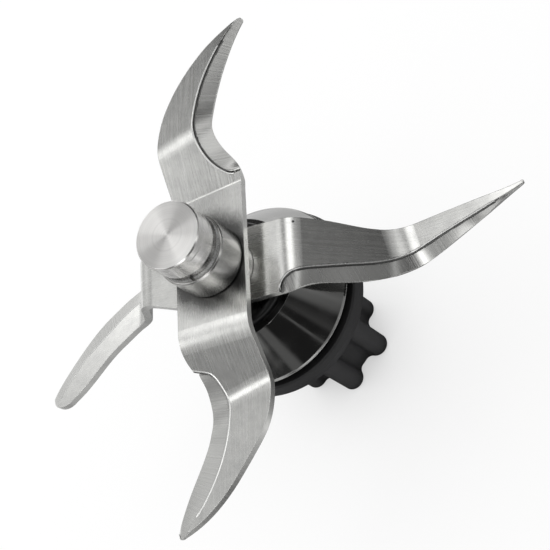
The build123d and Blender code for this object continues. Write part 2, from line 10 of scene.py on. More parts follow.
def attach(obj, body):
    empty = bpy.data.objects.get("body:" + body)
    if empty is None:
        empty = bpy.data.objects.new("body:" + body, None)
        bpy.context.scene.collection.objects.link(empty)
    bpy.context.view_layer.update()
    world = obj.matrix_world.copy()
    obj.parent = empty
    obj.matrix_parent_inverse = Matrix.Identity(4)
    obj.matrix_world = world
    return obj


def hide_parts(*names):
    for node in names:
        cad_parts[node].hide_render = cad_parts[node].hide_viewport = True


MM = 0.001

# The photograph's camera, fitted to the part's circles and edges there: place in metres, turn in
# degrees, lens and sensor in mm
CAMERA_PLACE = (0.17406, -0.14849, 0.37845)
CAMERA_TURN = (20.863, 28.437, -3.368)
CAMERA_LENS = 98.2
CAMERA_SENSOR = 36

# Each cutting edge, in mm: a plan place on its ground face, the arc that the edge follows, how far the wheel
# runs out through the whole end, and the share of the end's width that is drawn in
TOP_EDGE = dict(name="top", inside=(6.1, 50.1), centre=(58.9, 31.7), radius=53.9,
                run=2.6, drawn=0.35)
BOTTOM_EDGE = dict(name="bottom", inside=(-10.1, -51.1), centre=(-77.6, -23.0), radius=69.6,
                   run=2.6, drawn=0.0)
RIGHT_EDGE = dict(name="right", inside=(53.2, 2.7), centre=(-17.0, 207.3), radius=218.5,
                  run=0.0, drawn=0.5)
LEFT_EDGE = dict(name="left", inside=(-53.7, -5.3), centre=(-17.0, -53.8), radius=63.8,
                 run=0.0, drawn=0.0)

# The blades' ground steps and tips, in mm and degrees
WELD = 0.001            # vertices nearer than this are one corner
GROUND_TURN = 12        # a ground face ends where the surface turns more than this
WALL_TURN = 25          # and the wall of its step ends where it turns more than this
STEP_LEAST = 0.05       # a wall rises at least this far above the ground face
STEP_RUN = 0.45         # the wall slopes over this length
FOOT_STEEP = 0.9        # share of the wall's own slope in its shading, at its foot
TOP_STEEP = 0.3         # and at its top, where it rounds into the flat
BURR_FOOT = 0.26        # half width of the burr at the step's foot
BURR_TOP = 0.25         # and at its top
BURR_HIGH = 0.07
FLAT_RISE = 0.3         # faces that point up more than this are a blade's upper side
TIP_END = 8.0           # the step and its burr stop this far from the tip
TIP_TAPER = 14.0        # the tip is drawn in over this length
TIP_LOST = 0.3          # and grinding takes this much off its end
TIP_LEVEL = 0.05        # what lies this far under the ground face at the end is part of it

# The bell's neck, in mm: its radius and the height where its collar starts
NECK_R = 16.6
NECK_Z = 62.2

# The studio, in metres
PAPER_R = 0.3
TENT_R = 0.9
CARD_R = 0.12
CARD_LIFT = 0.0002
HUB_PLACE = (0, 0, 0.075)
LAMP_PLACE = (-0.45, 0.25, 0.75)
LAMP_AIM = (0, 0, 0.06)
LAMP_SIZE = 1.0
LAMP_WATTS = 4.4
SURROUND_LIGHT = 0.72   # strength of the white surround's light; the eye sees it at 1
PAPER_GLOW = 0.78       # share of the paper's white that is its own glow
CONTACT_REACH = 0.035   # the paper's painted contact shadow reaches this far from the part

# Tent cloth lit from outside: bearing and height of each soft light and its half angle, in degrees, and its
# brightness. The plan was fitted to the photograph's steel and then rounded.
TENT_LIGHTS = (
    (60, 55, 15, 1.8),      # small, high at the back right
    (-80, 50, 25, 1.8),     # in front, over the bottom arm
    (-50, 55, 30, 1.9),     # round the camera
    (-25, 55, 25, 2.3),     # brightest, to the camera's right
    (140, 20, 12, 1.5),     # small, low on the far side, facing the camera
    (145, 20, 15, 0.4),     # and its soft edge
    (-155, 50, 15, 1.4),    # small, high on the left
    (-175, 25, 65, 0.5),    # broad grey all over the left
    (160, 75, 18, 1.1),     # nearly overhead
    (130, 65, 18, 0.6),     # beside it, weaker
    (0, 90, 75, 0.1),       # faint overhead
    (5, 60, 45, 0.4),       # broad grey on the right
    (-10, 15, 15, 0.2),     # low on the right
    (-100, 15, 15, 1.0),    # low in front
    (120, -30, 45, 1.4),    # low behind, mostly hidden by the table
)
CLOTH_GREY = 0.01
LIGHT_CORE = 0.3        # a light is even over this share of its half angle
OPENING_DARK = 13.5     # the camera's opening is dark within this angle of it
OPENING_EDGE = 29       # and fully lit beyond this
OPENING_GREY = 0.03

# Greys by bearing in degrees: of the room that the bell mirrors, and of the table that the cap's side mirrors
ROOM_TONES = (
    (-180, 0.02), (-90, 0.02), (-87, 0.14), (-79, 0.14), (-75, 0.01), (-50, 0.01), (-48, 0.2), (-46.5, 0.01),
    (-38, 0.01), (-34, 0.06), (-26, 0.03), (-20, 0.01), (-9, 0.02), (-4, 0.14), (19, 0.16), (180, 0.16),
)
TABLE_TONES = (
    (-180, 0.6), (-150, 0.3), (-126, 0.6), (-105, 0.3), (-80, 0.15), (-62, 0.5), (-51, 0.9), (-40, 0.5),
    (-20, 0.3), (11, 0.25), (45, 0.45), (81, 0.7), (130, 0.6), (180, 0.6),
)


def linear(code):
    """sRGB hex code to a linear RGBA colour."""
    channels = [int(code[i:i + 2], 16) / 255 for i in (1, 3, 5)]
    return [c / 12.92 if c <= 0.04045 else ((c + 0.055) / 1.055) ** 2.4 for c in channels] + [1.0]


def node(tree, kind, inputs=None, **settings):
    """Adds one node; inputs are values or other nodes' output sockets, settings are its own properties."""
    made = tree.nodes.new(kind)
    for name, value in settings.items():
        setattr(made, name, value)
    for key, value in (inputs or {}).items():
        if isinstance(value, bpy.types.NodeSocket):
            tree.links.new(value, made.inputs[key])
        else:
            made.inputs[key].default_value = value
    return made


def empty_tree(owner):
    """Node tree of a material or world, cleared."""
    owner.use_nodes = True
    owner.node_tree.nodes.clear()
    return owner.node_tree


def bare_finish(name, inputs):
    """A material with only its surface, ready for its patterns."""
    material = bpy.data.materials.new(name)
    tree = empty_tree(material)
    surface = node(tree, "ShaderNodeBsdfPrincipled", inputs)
    node(tree, "ShaderNodeOutputMaterial", {"Surface": surface.outputs["BSDF"]})
    return material, tree, surface


def dress(tree, surface, inputs):
    """Links a finish's patterns to its surface."""
    for name, socket in inputs.items():
        tree.links.new(socket, surface.inputs[name])


def rounded_and_highlit_edges(tree, width_mm):
    """Normal that rounds sharp edges over, and a mask of 1 on them: where use has rubbed the finish, and where
    the finishes paint an edge highlight.
    """
    over = node(tree, "ShaderNodeBevel", {"Radius": width_mm * MM}, samples=4)
    face = node(tree, "ShaderNodeNewGeometry")
    turn = node(tree, "ShaderNodeVectorMath", {0: over.outputs["Normal"], 1: face.outputs["Normal"]},
                operation="DOT_PRODUCT")
    mask = node(tree, "ShaderNodeMapRange",
                {"Value": turn.outputs["Value"], "From Min": 0.995, "From Max": 0.85})
    return over.outputs["Normal"], mask.outputs["Result"]


def shaded_corners(tree, colour, reach_mm, full_shade_at, no_shade_at, least, fade="LINEAR"):
    """Darkens a colour in corners, by how closed in they are, down to the least share of its light: painted
    shade.
    """
    corner = node(tree, "ShaderNodeAmbientOcclusion", {"Distance": reach_mm * MM}, samples=8)
    share = node(tree, "ShaderNodeMapRange",
                 {"Value": corner.outputs["AO"], "From Min": full_shade_at, "From Max": no_shade_at, "To Min": least},
                 interpolation_type=fade)
    dimmed = node(tree, "ShaderNodeVectorMath", {0: colour, "Scale": share.outputs["Result"]},
                  operation="SCALE")
    return dimmed.outputs["Vector"]


def brushed_strip(name, across, streak_mm, pit_mm, corner_shade):
    """Cold-rolled stainless strip, belt-brushed along its length.

    To the eye: light spread across the strip, fine streaks along it, soft clouds of grey, edges painted bright
    as a highlight where use also rubs them, one small dark pit, and painted shade in corners of its upper
    faces, such as round the sleeve's foot.
    """
    material, tree, surface = bare_finish(name, {"Metallic": 1.0, "Anisotropic": 0.4})
    place = node(tree, "ShaderNodeTexCoord").outputs["Object"]
    # Real brushing is about 0.05 mm wide; it is drawn 0.3 mm wide to show
    lie = node(tree, "ShaderNodeMapping",
               {"Vector": place, "Scale": [1 / (size * MM) for size in streak_mm]})
    streaks = node(tree, "ShaderNodeTexNoise",
                   {"Vector": lie.outputs["Vector"], "Scale": 1.0, "Detail": 3.0})
    clouds = node(tree, "ShaderNodeTexNoise",
                  {"Vector": place, "Scale": 1 / (4 * MM), "Detail": 6.0, "Roughness": 0.65})
    rounded, worn_and_highlit_edges = rounded_and_highlit_edges(tree, 0.2)
    cloudy = node(tree, "ShaderNodeMapRange",
                  {"Value": clouds.outputs["Fac"], "From Min": 0.3, "From Max": 0.7})
    tone = node(tree, "ShaderNodeMix",
                {"Factor": cloudy.outputs["Result"], "A": linear("#d4d4d2"), "B": linear("#e8e8e5")},
                data_type="RGBA")
    grained = node(tree, "ShaderNodeMix",
                   {"Factor": 0.22, "A": tone.outputs["Result"], "B": streaks.outputs["Fac"]},
                   data_type="RGBA", blend_type="OVERLAY")
    # Edges painted bright as a highlight, where use also rubs them
    bright = node(tree, "ShaderNodeMix",
                  {"Factor": worn_and_highlit_edges, "A": grained.outputs["Result"], "B": linear("#f4f4f2")},
                  data_type="RGBA")
    gap = node(tree, "ShaderNodeVectorMath", {0: place, 1: [c * MM for c in pit_mm]}, operation="DISTANCE")
    pit = node(tree, "ShaderNodeMapRange",
               {"Value": gap.outputs["Value"], "From Min": 0.45 * MM, "From Max": 0.2 * MM})
    pitted = node(tree, "ShaderNodeMix",
                  {"Factor": pit.outputs["Result"], "A": bright.outputs["Result"], "B": linear("#3a3a39")},
                  data_type="RGBA")
    # The painted corner shade lies only on what faces up
    face = node(tree, "ShaderNodeNewGeometry")
    upright = node(tree, "ShaderNodeSeparateXYZ", {"Vector": face.outputs["Normal"]})
    least = node(tree, "ShaderNodeMapRange",
                 {"Value": upright.outputs["Z"], "From Min": 0.8, "From Max": 0.95,
                  "To Min": 1.0, "To Max": 1 - corner_shade})
    corner_shaded = shaded_corners(tree, pitted.outputs["Result"], reach_mm=12, full_shade_at=0.72, no_shade_at=0.9,
                             least=least.outputs["Result"], fade="SMOOTHSTEP")
    gloss = node(tree, "ShaderNodeMapRange",
                 {"Value": streaks.outputs["Fac"], "From Min": 0.3, "From Max": 0.7,
                  "To Min": 0.21, "To Max": 0.29})
    relief = node(tree, "ShaderNodeBump",
                  {"Height": streaks.outputs["Fac"], "Strength": 0.2, "Distance": 0.012 * MM,
                   "Normal": rounded})
    spread = node(tree, "ShaderNodeVectorTransform", {"Vector": across},
                  convert_from="OBJECT", convert_to="WORLD")
    dress(tree, surface, {"Base Color": corner_shaded, "Roughness": gloss.outputs["Result"],
                          "Normal": relief.outputs["Normal"], "Tangent": spread.outputs["Vector"]})
    return material


def ground_edge(edge):
    """Stainless ground across the cutting edge on a wheel.

    To the eye: fine lines square to the edge, a little glossier than the strip, edges painted bright as a
    highlight, and painted shade at the foot of the step.
    """
    material, tree, surface = bare_finish(f"wheel_ground_stainless_{edge['name']}", {"Metallic": 1.0})
    place = node(tree, "ShaderNodeTexCoord").outputs["Object"]
    middle = [c * MM for c in edge["centre"]] + [0]
    reach = node(tree, "ShaderNodeVectorMath", {0: place, 1: middle}, operation="SUBTRACT")
    split = node(tree, "ShaderNodeSeparateXYZ", {"Vector": reach.outputs["Vector"]})
    angle = node(tree, "ShaderNodeMath", {0: split.outputs["Y"], 1: split.outputs["X"]}, operation="ARCTAN2")
    # Real wheel marks are about 0.1 mm apart; they are drawn 0.4 mm apart to show
    marks = node(tree, "ShaderNodeTexNoise",
                 {"W": angle.outputs["Value"], "Scale": edge["radius"] / 0.4, "Detail": 2.0},
                 noise_dimensions="1D")
    rounded, worn_and_highlit_edges = rounded_and_highlit_edges(tree, 0.2)
    tone = node(tree, "ShaderNodeMix",
                {"Factor": marks.outputs["Fac"], "A": linear("#c4c4c2"), "B": linear("#dcdcd9")},
                data_type="RGBA")
    # Edges painted bright as a highlight, where use also rubs them
    bright = node(tree, "ShaderNodeMix",
                  {"Factor": worn_and_highlit_edges, "A": tone.outputs["Result"], "B": linear("#f4f4f2")}, data_type="RGBA")
    # Painted shade at the foot of the step
    step_shaded = shaded_corners(tree, bright.outputs["Result"], reach_mm=1.5, full_shade_at=0.65, no_shade_at=0.92, least=0.25)
    gloss = node(tree, "ShaderNodeMapRange",
                 {"Value": marks.outputs["Fac"], "From Min": 0.3, "From Max": 0.7,
                  "To Min": 0.2, "To Max": 0.28})
    relief = node(tree, "ShaderNodeBump",
                  {"Height": marks.outputs["Fac"], "Strength": 0.06, "Distance": 0.02 * MM,
                   "Normal": rounded})
    dress(tree, surface, {"Base Color": step_shaded, "Roughness": gloss.outputs["Result"],
                          "Normal": relief.outputs["Normal"]})
    return material


def turned_steel(name, dark, light, side, end, spread):
    """Free-machining stainless turned on a lathe.

    To the eye: ring marks that spread light into wedges on a flat face and into bands on a round one. The
    ends are faced with a coarser cut than the sides.
    """
    material, tree, surface = bare_finish(
        name, {"Metallic": 1.0, "Anisotropic": spread, "Anisotropic Rotation": 0.25})
    place = node(tree, "ShaderNodeTexCoord").outputs["Object"]
    split = node(tree, "ShaderNodeSeparateXYZ", {"Vector": place})
    flat = node(tree, "ShaderNodeVectorMath", {0: place, 1: (1, 1, 0)}, operation="MULTIPLY")
    radius = node(tree, "ShaderNodeVectorMath", {0: flat.outputs["Vector"]}, operation="LENGTH")
    rings = node(tree, "ShaderNodeCombineXYZ", {"X": radius.outputs["Value"], "Y": split.outputs["Z"]})
    # Real feed marks are about 0.1 mm apart; they are drawn 0.35 mm apart to show
    marks = node(tree, "ShaderNodeTexNoise",
                 {"Vector": rings.outputs["Vector"], "Scale": 1 / (0.35 * MM), "Detail": 2.0},
                 noise_dimensions="2D")
    rounded, worn_and_highlit_edges = rounded_and_highlit_edges(tree, 0.25)
    tone = node(tree, "ShaderNodeMix",
                {"Factor": marks.outputs["Fac"], "A": linear(dark), "B": linear(light)}, data_type="RGBA")
    # Edges painted bright as a highlight, where use also rubs them
    bright = node(tree, "ShaderNodeMix",
                  {"Factor": worn_and_highlit_edges, "A": tone.outputs["Result"], "B": linear("#f2f2f0")}, data_type="RGBA")
    face = node(tree, "ShaderNodeNewGeometry")
    upright = node(tree, "ShaderNodeSeparateXYZ", {"Vector": face.outputs["Normal"]})
    cut = node(tree, "ShaderNodeMapRange",
               {"Value": upright.outputs["Z"], "From Min": 0.8, "From Max": 0.95,
                "To Min": side, "To Max": end})
    gloss = node(tree, "ShaderNodeMath", {0: marks.outputs["Fac"], 1: 0.06, 2: cut.outputs["Result"]},
                 operation="MULTIPLY_ADD")
    relief = node(tree, "ShaderNodeBump",
                  {"Height": marks.outputs["Fac"], "Strength": 0.2, "Distance": 0.02 * MM,
                   "Normal": rounded})
    turn = node(tree, "ShaderNodeTangent", direction_type="RADIAL", axis="Z")
    dress(tree, surface, {"Base Color": bright.outputs["Result"], "Roughness": gloss.outputs["Value"],
                          "Normal": relief.outputs["Normal"], "Tangent": turn.outputs["Tangent"]})
    return material


def polished_shell():
    """Deep-drawn stainless, mirror-polished.

    To the eye: deep dark reflections with sharp streaks, and faint smears from wiping.
    """
    material, tree, surface = bare_finish("mirror_polished_stainless", {"Metallic": 1.0})
    place = node(tree, "ShaderNodeTexCoord").outputs["Object"]
    smears = node(tree, "ShaderNodeTexNoise", {"Vector": place, "Scale": 1 / (6 * MM), "Detail": 4.0})
    rounded, worn_and_highlit_edges = rounded_and_highlit_edges(tree, 0.3)
    tone = node(tree, "ShaderNodeMix",
                {"Factor": smears.outputs["Fac"], "A": linear("#adadac"), "B": linear("#bdbdbb")},
                data_type="RGBA")
    # Edges painted bright as a highlight, where use also rubs them
    bright = node(tree, "ShaderNodeMix",
                  {"Factor": worn_and_highlit_edges, "A": tone.outputs["Result"], "B": linear("#ebebe9")}, data_type="RGBA")
    gloss = node(tree, "ShaderNodeMapRange",
                 {"Value": smears.outputs["Fac"], "From Min": 0.35, "From Max": 0.7,
                  "To Min": 0.07, "To Max": 0.16})
    relief = node(tree, "ShaderNodeBump",
                  {"Height": smears.outputs["Fac"], "Strength": 0.03, "Distance": 0.05 * MM,
                   "Normal": rounded})
    dress(tree, surface, {"Base Color": bright.outputs["Result"], "Roughness": gloss.outputs["Result"],
                          "Normal": relief.outputs["Normal"]})
    return material


def moulded(name, dark, light, edge_wear_and_sheen, rough, grit_mm, depth):
    """Moulded rubber or plastic, or pressed felt.

    To the eye: mottled dark tone, fine grain from the mould, paler edges from wear and from a painted
    highlight, and painted shade in recesses.
    """
    material, tree, surface = bare_finish(name, {"Specular IOR Level": 0.35})
    place = node(tree, "ShaderNodeTexCoord").outputs["Object"]
    grit = node(tree, "ShaderNodeTexNoise", {"Vector": place, "Scale": 1 / (grit_mm * MM), "Detail": 2.0})
    mottle = node(tree, "ShaderNodeTexNoise", {"Vector": place, "Scale": 1 / (4 * MM), "Detail": 4.0})
    rounded, worn_and_highlit_edges = rounded_and_highlit_edges(tree, 0.4)
    tone = node(tree, "ShaderNodeMix",
                {"Factor": mottle.outputs["Fac"], "A": linear(dark), "B": linear(light)}, data_type="RGBA")
    # Edges paler from wear and from a painted highlight
    pale = node(tree, "ShaderNodeMix",
                {"Factor": worn_and_highlit_edges, "A": tone.outputs["Result"], "B": linear(edge_wear_and_sheen)}, data_type="RGBA")
    # Painted shade in recesses
    recess_shaded = shaded_corners(tree, pale.outputs["Result"], reach_mm=8, full_shade_at=0.4, no_shade_at=0.9, least=0.25)
    gloss = node(tree, "ShaderNodeMapRange",
                 {"Value": mottle.outputs["Fac"], "From Min": 0.3, "From Max": 0.7,
                  "To Min": rough - 0.05, "To Max": rough + 0.05})
    relief = node(tree, "ShaderNodeBump",
                  {"Height": grit.outputs["Fac"], "Strength": depth, "Distance": 0.05 * MM,
                   "Normal": rounded})
    dress(tree, surface, {"Base Color": recess_shaded, "Roughness": gloss.outputs["Result"],
                          "Normal": relief.outputs["Normal"]})
    return material


def bright_metal(name, dark, light, rough, edge_mm=0.2):
    """Spring wire, sintered bronze or a burr left by a wheel.

    To the eye: speckled tone and gloss, from drawing, from pores or from tearing, and glossier edges where use
    rubs them.
    """
    material, tree, surface = bare_finish(name, {"Metallic": 1.0})
    place = node(tree, "ShaderNodeTexCoord").outputs["Object"]
    speck = node(tree, "ShaderNodeTexNoise", {"Vector": place, "Scale": 1 / (0.4 * MM), "Detail": 3.0})
    rounded, worn_and_highlit_edges = rounded_and_highlit_edges(tree, edge_mm)
    tone = node(tree, "ShaderNodeMix",
                {"Factor": speck.outputs["Fac"], "A": linear(dark), "B": linear(light)}, data_type="RGBA")
    gloss = node(tree, "ShaderNodeMapRange",
                 {"Value": speck.outputs["Fac"], "From Min": 0.3, "From Max": 0.7,
                  "To Min": rough - 0.06, "To Max": rough + 0.06})
    edge_wear_and_sheen = node(tree, "ShaderNodeMath", {0: worn_and_highlit_edges, 1: -0.1, 2: gloss.outputs["Result"]},
                operation="MULTIPLY_ADD")
    relief = node(tree, "ShaderNodeBump",
                  {"Height": speck.outputs["Fac"], "Strength": 0.2, "Distance": 0.02 * MM,
                   "Normal": rounded})
    dress(tree, surface, {"Base Color": tone.outputs["Result"], "Roughness": edge_wear_and_sheen.outputs["Value"],
                          "Normal": relief.outputs["Normal"]})
    return material


def paint(names, material):
    """Gives CAD nodes a finish."""
    for name in names:
        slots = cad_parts[name].data.materials
        slots.clear()
        slots.append(material)


class BladeCopy:
    """A copy of a blade's mesh that knows which faces meet at each edge, and where its tips are."""

    def __init__(self, name):
        self.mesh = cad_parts[name].data.copy()
        self.mesh.materials.clear()
        self.corner = [tuple(round(c / (WELD * MM)) for c in v.co) for v in self.mesh.vertices]
        self.tips = []
        self.sides = {}
        for face in self.mesh.polygons:
            face.material_index = 0
            for a, b in face.edge_keys:
                self.sides.setdefault(frozenset((self.corner[a], self.corner[b])), []).append(face.index)

    def beside(self, a, b):
        """Faces that meet at the edge between two vertices."""
        return [self.mesh.polygons[i] for i in self.sides[frozenset((self.corner[a], self.corner[b]))]]

    def at_tip(self, place):
        """Whether a place is so near to a tip that the step has run out."""
        return min((place - tip).length for tip in self.tips) < TIP_END * MM


def mark_ground(blade, edge, slot):
    """Gives the ground face at a cutting edge its finish, and finds the tip where it ends."""
    mesh = blade.mesh
    surface = BVHTree.FromPolygons([v.co for v in mesh.vertices],
                                   [face.vertices[:] for face in mesh.polygons])
    above = Vector((*edge["inside"], 200)) * MM
    reach = [surface.ray_cast(above, Vector((0, 0, -1)))[2]]
    # The ground face ends where the surface turns sharply: at its step and at the cutting edge
    while reach:
        face = mesh.polygons[reach.pop()]
        face.material_index = slot
        for a, b in face.edge_keys:
            for other in blade.beside(a, b):
                turn = face.normal.angle(other.normal, 0.0)
                if other.material_index == 0 and turn < math.radians(GROUND_TURN):
                    other.material_index = slot
                    reach.append(other.index)
    places = [mesh.vertices[v].co.copy() for face in mesh.polygons if face.material_index == slot
              for v in face.vertices]
    blade.tips.append(max(places, key=lambda place: place.xy.length))


def draw_in(mesh, tip, drawn):
    """Draws a blade's end in towards the middle of its arm, to the fine point that grinding leaves."""
    reach = TIP_TAPER * MM
    root = [v.co for v in mesh.vertices if reach * 0.8 < (v.co.xy - tip.xy).length < reach * 1.2]
    end = [v.co for v in mesh.vertices if (v.co.xy - tip.xy).length < 0.1 * reach]
    root, end = (sum(places, Vector()) / len(places) for places in (root, end))
    along = (end - root).normalized()
    for v in mesh.vertices:
        gap = (v.co.xy - tip.xy).length / reach
        if gap < 1:
            near = (1 - gap) ** 2
            middle = end + along * (v.co - end).dot(along)
            v.co = middle.lerp(v.co, 1 - drawn * near) - along * TIP_LOST * MM * near
    mesh.update()


def soften_step(blade, shaded_wall_slot):
    """Slopes the step that the wheel leaves at its inner line, and rounds it, as a dressed wheel does."""
    mesh = blade.mesh
    walls, foot = {}, {}
    for face in mesh.polygons:
        if face.material_index == 0:
            continue
        for a, b in face.edge_keys:
            middle = (mesh.vertices[a].co + mesh.vertices[b].co) / 2
            if blade.at_tip(middle):
                continue
            for wall in blade.beside(a, b):
                rise = (wall.center - middle).dot(face.normal)
                if wall.material_index == 0 and rise > STEP_LEAST * MM:
                    walls[wall.index] = face.normal.copy()
                    for spot in (blade.corner[a], blade.corner[b]):
                        foot[spot] = foot.get(spot, Vector()) + wall.normal
    for index, up in list(walls.items()):
        wall = mesh.polygons[index]
        for a, b in wall.edge_keys:
            for other in blade.beside(a, b):
                turn = wall.normal.angle(other.normal, 0.0)
                if other.material_index == 0 and turn < math.radians(WALL_TURN):
                    walls.setdefault(other.index, up)
    normals = [c.vector.copy() for c in mesh.corner_normals]
    for index, up in walls.items():
        wall = mesh.polygons[index]
        # The wall takes the dark burr finish: painted shade in the step
        wall.material_index = shaded_wall_slot
        for loop, v in zip(wall.loop_indices, wall.vertices):
            steep = FOOT_STEEP if blade.corner[v] in foot else TOP_STEEP
            normals[loop] = (up * (1 - steep) + wall.normal * steep).normalized()
    for v in mesh.vertices:
        spot = blade.corner[v.index]
        if spot in foot:
            v.co += foot[spot].normalized() * STEP_RUN * MM
    mesh.normals_split_custom_set(normals)
    return set(walls)


def ridge(blade, faces, others, wide):
    """Points and faces of a thin closed ridge along the line where two sets of a blade's faces meet."""
    mesh = blade.mesh
    out, up, runs = {}, {}, []
    for face in faces:
        for a, b in face.edge_keys:
            start, end = mesh.vertices[a].co, mesh.vertices[b].co
            meets = any(near.index in others for near in blade.beside(a, b))
            if not meets or blade.at_tip(start):
                continue
            across = (end - start).cross(face.normal).normalized()
            if across.dot(face.center - start) > 0:
                across.negate()
            for spot in (blade.corner[a], blade.corner[b]):
                out[spot] = out.get(spot, Vector()) + across
                up[spot] = up.get(spot, Vector()) + face.normal
            runs.append((blade.corner[a], blade.corner[b]))
    place = {blade.corner[v.index]: v.co for v in mesh.vertices}
    points, first = [], {}
    for spot in out:
        reach = out[spot].normalized() * wide * MM
        rise = up[spot].normalized() * BURR_HIGH * MM
        first[spot] = len(points)
        points += [place[spot] - reach, place[spot] + rise, place[spot] + reach]
    strips = []
    for one, two in runs:
        for i, j in ((0, 1), (1, 2), (2, 0)):
            strips.append((first[one] + i, first[one] + j, first[two] + j, first[two] + i))
    ends = [(i, i + 1, i + 2) for spot, i in first.items() if sum(spot in run for run in runs) == 1]
    return points, strips + ends


def burr_line(name, blade, walls, burrs):
    """Two thin ridges along the wheel's inner line: painted dark as shade at the step's foot, and painted
    bright as a highlight at its top.
    """
    mesh = blade.mesh
    ground = [face for face in mesh.polygons if face.material_index in (1, 2)]
    flat = [face for face in mesh.polygons
            if face.material_index == 0 and face.index not in walls and face.normal.z > FLAT_RISE]
    above = walls.union(face.index for face in flat)
    lines = (ridge(blade, ground, above, BURR_FOOT), ridge(blade, flat, walls, BURR_TOP))
    points, faces, finish = [], [], []
    for slot, (line_points, line_faces) in enumerate(lines):
        faces += [[len(points) + i for i in face] for face in line_faces]
        finish += [slot] * len(line_faces)
        points += line_points
    burr = bpy.data.meshes.new(f"burr_{name}")
    burr.from_pydata(points, [], faces)
    for material in burrs:
        burr.materials.append(material)
    burr.polygons.foreach_set("material_index", finish)
    solid = bmesh.new()
    solid.from_mesh(burr)
    bmesh.ops.recalc_face_normals(solid, faces=solid.faces)
    solid.to_mesh(burr)
    solid.free()
    piece = bpy.data.objects.new(f"burr_{name}", burr)
    bpy.context.scene.collection.objects.link(piece)
    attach(piece, "spindle")


def run_out(mesh, slot, tip, run):
    """Takes the ground face on through the blade's end, as the wheel does when it leaves the tip."""
    ground = [face for face in mesh.polygons
              if face.material_index == slot and (face.center - tip).length < TIP_END * MM]
    up = sum((face.normal * face.area for face in ground), Vector()).normalized()
    middle = sum((face.center * face.area for face in ground), Vector()) / sum(face.area for face in ground)
    level = set()
    for v in mesh.vertices:
        high = (v.co - middle).dot(up)
        if (v.co.xy - tip.xy).length < run * MM and high > -TIP_LEVEL * MM:
            v.co -= up * high
            level.add(v.index)
    normals = [c.vector.copy() for c in mesh.corner_normals]
    for face in mesh.polygons:
        if level.issuperset(face.vertices):
            face.material_index = slot
            for loop in face.loop_indices:
                normals[loop] = up
    mesh.normals_split_custom_set(normals)


def dressed_blade(name, strip, edges, burrs):
    """Stands for a blade: its faces with their ground edges, softened steps, burrs and fine tips."""
    blade = BladeCopy(name)
    # The last slot, the dark burr finish, is painted shade on the steps' walls
    for material in (strip, *[ground_edge(edge) for edge in edges], burrs[0]):
        blade.mesh.materials.append(material)
    for slot, edge in enumerate(edges, 1):
        mark_ground(blade, edge, slot)
    for tip, edge in zip(blade.tips, edges):
        draw_in(blade.mesh, tip, edge["drawn"])
    walls = soften_step(blade, len(edges) + 1)
    burr_line(name, blade, walls, burrs)
    for slot, (tip, edge) in enumerate(zip(blade.tips, edges), 1):
        run_out(blade.mesh, slot, tip, edge["run"])
    piece = bpy.data.objects.new(f"ground_{name}", blade.mesh)
    bpy.context.scene.collection.objects.link(piece)
    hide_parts(name)
    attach(piece, "spindle")


def dressed_bell(shell, black_collar_finish):
    """Stands for the bell: the same faces, with those of the neck collar black, in the seal's finish."""
    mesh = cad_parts["bell_housing"].data.copy()
    mesh.materials.clear()
    mesh.materials.append(shell)
    mesh.materials.append(black_collar_finish)
    for face in mesh.polygons:
        inside = face.center.xy.length < NECK_R * MM and face.center.z > NECK_Z * MM
        face.material_index = 1 if inside else 0
    piece = bpy.data.objects.new("black_collared_bell", mesh)
    bpy.context.scene.collection.objects.link(piece)
    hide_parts("bell_housing")
    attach(piece, "housing")


def seen_share(tree, plain, seen):
    """One value for what the eye, metal and glass see, and a plain one for the light that falls."""
    path = node(tree, "ShaderNodeLightPath")
    either = node(tree, "ShaderNodeMath",
                  {0: path.outputs["Is Camera Ray"], 1: path.outputs["Is Glossy Ray"]}, operation="MAXIMUM")
    any_ray = node(tree, "ShaderNodeMath", {0: either.outputs[0], 1: path.outputs["Is Transmission Ray"]},
                   operation="MAXIMUM")
    share = node(tree, "ShaderNodeMapRange", {"Value": any_ray.outputs[0], "To Min": plain, "To Max": seen})
    return share.outputs["Result"]


def bearing_tones(tree, place, tones):
    """Greys that change with the bearing about the axis."""
    split = node(tree, "ShaderNodeSeparateXYZ", {"Vector": place})
    bearing = node(tree, "ShaderNodeMath", {0: split.outputs["Y"], 1: split.outputs["X"]},
                   operation="ARCTAN2")
    share = node(tree, "ShaderNodeMapRange",
                 {"Value": bearing.outputs["Value"], "From Min": -math.pi, "From Max": math.pi})
    greys = node(tree, "ShaderNodeValToRGB", {"Fac": share.outputs["Result"]})
    stops = greys.color_ramp.elements
    for degrees, grey in tones[1:-1]:
        stops.new((degrees + 180) / 360).color = (grey, grey, grey, 1)
    for stop, (degrees, grey) in ((stops[0], tones[0]), (stops[-1], tones[-1])):
        stop.color = (grey, grey, grey, 1)
    return greys.outputs["Color"]


def direction(bearing, height):
    """Direction from its bearing about the axis and its height above the table, in degrees."""
    turn, rise = math.radians(bearing), math.radians(height)
    return math.cos(turn) * math.cos(rise), math.sin(turn) * math.cos(rise), math.sin(rise)


def stage_piece(name, shape, material):
    """Puts a piece of the studio in the scene."""
    mesh = bpy.data.meshes.new(name)
    shape.to_mesh(mesh)
    shape.free()
    mesh.materials.append(material)
    piece = bpy.data.objects.new(name, mesh)
    bpy.context.scene.collection.objects.link(piece)
    return piece


def only_mirrored(piece):
    """Leaves a piece of the studio to be seen in shiny metal alone."""
    piece.visible_camera = False
    piece.visible_diffuse = False
    piece.visible_shadow = False
    piece.visible_transmission = False


def white_surround():
    """Plain white all round, which lights the part softly."""
    world = bpy.data.worlds.new("white_surround")
    tree = empty_tree(world)
    back = node(tree, "ShaderNodeBackground",
                {"Color": (1, 1, 1, 1), "Strength": seen_share(tree, SURROUND_LIGHT, 1.0)})
    node(tree, "ShaderNodeOutputWorld", {"Surface": back.outputs["Background"]})
    bpy.context.scene.world = world


